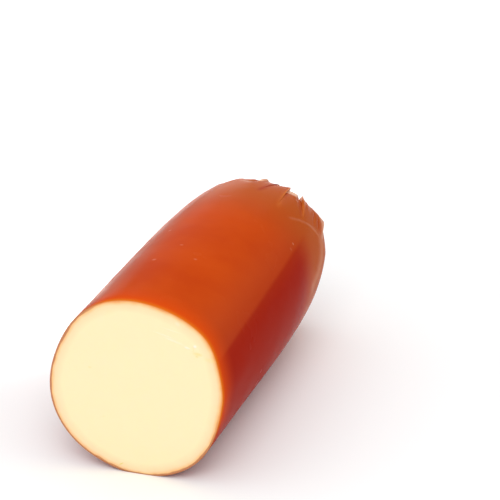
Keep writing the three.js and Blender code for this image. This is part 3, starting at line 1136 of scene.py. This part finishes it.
def rind_material(finish):
    """Smoked rind: red-orange, unevenly smoked, with a soft gloss, and painted light and shade laid on
    its colour.
    """
    material, tree = new_material("smoked_rind")
    place = add_node(tree, "ShaderNodeTexCoord").outputs["Object"]
    apart = add_node(tree, "ShaderNodeSeparateXYZ", {"Vector": place}).outputs
    clear, gap = attribute(tree, "rim_clear"), attribute(tree, "rim_gap")
    specks = strongest(tree, [
        ellipse_mark(tree, place, middle, (size, size, size), 0, strength)
        for middle, size, strength in RIND_SPECKS
    ])
    color = tint_over(tree, finish.rind_color, (
        (map_range(tree, noise(tree, place, SMOKE_NOISE), *SMOKE_SPAN), finish.smoked_color),
        (map_range(tree, apart["Z"], *FLANK_HEIGHTS, 0.0, TINT_SHARE), finish.flank_color),
        (map_range(tree, apart["Y"], *END_PLACES, 0.0, TINT_SHARE), finish.end_color),
        # Painted shade on the left
        (attribute(tree, "left_side"), finish.left_shade_color),
        # Painted shade towards the underside
        (attribute(tree, "deep_smoke"), finish.underside_shade_color),
        # Painted glow near the cut on the rim's lit side
        (cut_glow(tree, gap, NEAR_GLOW, clear), finish.near_cut_glow_color),
        (cut_glow(tree, gap, RIM_GLOW, clear), finish.glow_color),
        # The rind's section line, painted dark as shade on the rim's shaded side
        (edge_line(tree, gap, RIND_LINE, clear), finish.shaded_section_line_color),
        # Painted glow on lit edges
        (attribute(tree, "fold_glow"), finish.edge_glow_color),
        # Painted shade in the creases
        (attribute(tree, "fold_dark"), finish.crease_shade_color),
        # Painted highlights and reflections; the real specks below share their colour
        (attribute(tree, "fold_pale"), finish.highlight_and_speck_color),
        (specks, finish.highlight_and_speck_color),
    ))
    bumps = (
        (noise(tree, place, GRAIN_NOISE), GRAIN_BUMP), (noise(tree, place, SWELL_NOISE), SWELL_BUMP),
    )
    roughness = (finish.rind_roughness + change for change in GLOSS_CHANGE)
    add_surface(tree, RIND_SURFACE | {
        "Base Color": color, "Normal": add_bumps(tree, *bumps),
        "Roughness": map_range(tree, noise(tree, place, GLOSS_NOISE), *NOISE_SPAN, *roughness),
    })
    return material


def paste_material(finish):
    """Cut paste: pale cream, tinted next to the rind, with the rind's own thin line at the edge in
    painted light and shade.
    """
    material, tree = new_material("cut_paste")
    place = add_node(tree, "ShaderNodeTexCoord").outputs["Object"]
    gap = rim_gap(tree, place)
    color = color_ramp(tree, map_range(tree, gap, 0.0, PASTE_REACH, 0.0, 1.0, False), (
        # The rim's lit side, glowing orange as painted light
        (0.0, finish.lit_rim_color),
        (INNER_HALO_REACH / PASTE_REACH, finish.inner_halo_color),
        (HALO_REACH / PASTE_REACH, finish.halo_color),
        (1.0, finish.paste_color),
    ))
    # Knife smears, whitened by painted highlight
    pale = cut_marks(tree, place, PALE_MARKS)
    yellow = cut_marks(tree, place, YELLOW_MARKS)
    color = tint_over(tree, color, (
        (pale, finish.smear_highlight_color),
        (yellow, finish.yellow_mark_color),
        # The rind's section line, painted dark as shade on the rim's shaded side
        (edge_line(tree, gap, PASTE_LINE, attribute(tree, "rim_clear")), finish.shaded_section_line_color),
    ))
    relief = math_node(tree, "SUBTRACT", pale, yellow)
    bumps = ((noise(tree, place, PASTE_NOISE), PASTE_BUMP), (relief, MARK_BUMP))
    add_surface(tree, PASTE_SURFACE | {"Base Color": color, "Normal": add_bumps(tree, *bumps)})
    return material


class CHEESE_OT_add_log(bpy.types.Operator):
    """Models the cheese log over its solid and gives it its rind and its cut paste"""

    bl_idname = "sausage_cheese.add_log"
    bl_label = "Add Cheese Log"
    bl_options = {"REGISTER", "UNDO"}

    def execute(self, context):
        sizes = context.scene.sausage_log
        finish = context.scene.sausage_finish
        log, *layout = build_log(sizes)
        log.data.materials.append(rind_material(finish))
        log.data.materials.append(paste_material(finish))
        assign_paste(log)
        shape_log(log, sizes, *layout)
        bpy.ops.object.shade_smooth_by_angle(angle=SMOOTH_ANGLE)
        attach(log, LOG_BODY)
        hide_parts(LOG_NODE)
        return {"FINISHED"}


def add_floor(stage):
    """A wide plain floor under the log."""
    deselect_all()
    bpy.ops.mesh.primitive_plane_add(size=FLOOR_SIDE, location=(0, 0, 0))
    floor = bpy.context.object
    floor.name = "floor"
    material, tree = new_material("pale_floor")
    add_surface(tree, {"Base Color": opaque(stage.floor_color), "Roughness": FLOOR_ROUGHNESS})
    floor.data.materials.append(material)


def add_soft_lights(stage):
    """The soft lights round the log, turned to face their aim."""
    for name, place, (width, height), power in SOFT_LIGHTS:
        bpy.ops.object.light_add(type="AREA", location=place)
        light = bpy.context.object
        light.name = name
        light.data.shape = "RECTANGLE"
        light.data.size = width
        light.data.size_y = height
        light.data.energy = getattr(stage, power)
        light.rotation_euler = (LIGHT_AIM - Vector(place)).to_track_quat("-Z", "Y").to_euler()


def add_floor_pools(power):
    """Soft pools of light on the floor behind the log, which the rind's left edge reflects."""
    for place, cone, share in FLOOR_POOLS:
        bpy.ops.object.light_add(type="SPOT", location=place)
        light = bpy.context.object
        light.name = "pool_light"
        light.data.energy = power * share
        light.data.spot_size = cone
        light.data.spot_blend = POOL_BLEND
        light.data.shadow_soft_size = POOL_LAMP_RADIUS


def add_camera(stage):
    """The camera at its angle round the log."""
    azimuth, elevation = stage.azimuth, stage.elevation
    back = Vector((
        math.sin(azimuth) * math.cos(elevation),
        -math.cos(azimuth) * math.cos(elevation),
        math.sin(elevation),
    ))
    bpy.ops.object.camera_add(location=Vector(stage.aim) + back * stage.distance)
    camera = bpy.context.object
    camera.rotation_euler = (-back).to_track_quat("-Z", "Y").to_euler()
    camera.data.lens = stage.lens
    camera.data.sensor_width = SENSOR_WIDTH
    bpy.context.scene.camera = camera


def add_world(stage):
    """A plain white surround, dimmer at the horizon than overhead."""
    world = bpy.data.worlds.new("surround")
    world.use_nodes = True
    tree = world.node_tree
    way = add_node(tree, "ShaderNodeTexCoord").outputs["Generated"]
    up = add_node(tree, "ShaderNodeSeparateXYZ", {"Vector": way}).outputs["Z"]
    strength = map_range(tree, up, *HORIZON_RISE, stage.horizon_strength, stage.world_strength)
    # Seen past the floor's edge, the surround is as plain and pale as the floor
    seen = add_node(tree, "ShaderNodeLightPath").outputs["Is Camera Ray"]
    strength = math_node(tree, "MAXIMUM", strength, seen)
    background = tree.nodes["Background"]
    background.inputs["Color"].default_value = (1, 1, 1, 1)
    tree.links.new(strength, background.inputs["Strength"])
    bpy.context.scene.world = world


class CHEESE_OT_add_stage(bpy.types.Operator):
    """Sets up the floor, the soft lights, the surround and the camera"""

    bl_idname = "sausage_cheese.add_stage"
    bl_label = "Add Stage"
    bl_options = {"REGISTER", "UNDO"}

    def execute(self, context):
        stage = context.scene.sausage_stage
        add_floor(stage)
        add_soft_lights(stage)
        add_floor_pools(stage.pool_power)
        add_world(stage)
        add_camera(stage)
        context.scene.view_settings.view_transform = "Standard"
        return {"FINISHED"}


class CHEESE_PT_panel(bpy.types.Panel):
    """The cheese's sizes and finishes, and the buttons that build it"""

    bl_idname = "CHEESE_PT_panel"
    bl_label = "Smoked Sausage Cheese"
    bl_space_type = "VIEW_3D"
    bl_region_type = "UI"
    bl_category = "Cheese"

    def draw(self, context):
        layout = self.layout
        scene = context.scene
        for settings in (scene.sausage_log, scene.sausage_finish, scene.sausage_stage):
            box = layout.box()
            for name in settings.__annotations__:
                box.prop(settings, name)
        layout.operator(CHEESE_OT_add_log.bl_idname)
        layout.operator(CHEESE_OT_add_stage.bl_idname)


CLASSES = (
    LogSizes,
    LogFinish,
    StageSettings,
    CHEESE_OT_add_log,
    CHEESE_OT_add_stage,
    CHEESE_PT_panel,
)


def register():
    """Registers the classes and gives the scene its settings."""
    for cls in CLASSES:
        bpy.utils.register_class(cls)
    bpy.types.Scene.sausage_log = PointerProperty(type=LogSizes)
    bpy.types.Scene.sausage_finish = PointerProperty(type=LogFinish)
    bpy.types.Scene.sausage_stage = PointerProperty(type=StageSettings)


def unregister():
    """Takes the settings and the classes away again."""
    del bpy.types.Scene.sausage_stage
    del bpy.types.Scene.sausage_finish
    del bpy.types.Scene.sausage_log
    for cls in reversed(CLASSES):
        bpy.utils.unregister_class(cls)


def main():
    register()
    bpy.ops.sausage_cheese.add_log()
    bpy.ops.sausage_cheese.add_stage()


if __name__ == "__main__":
    main()
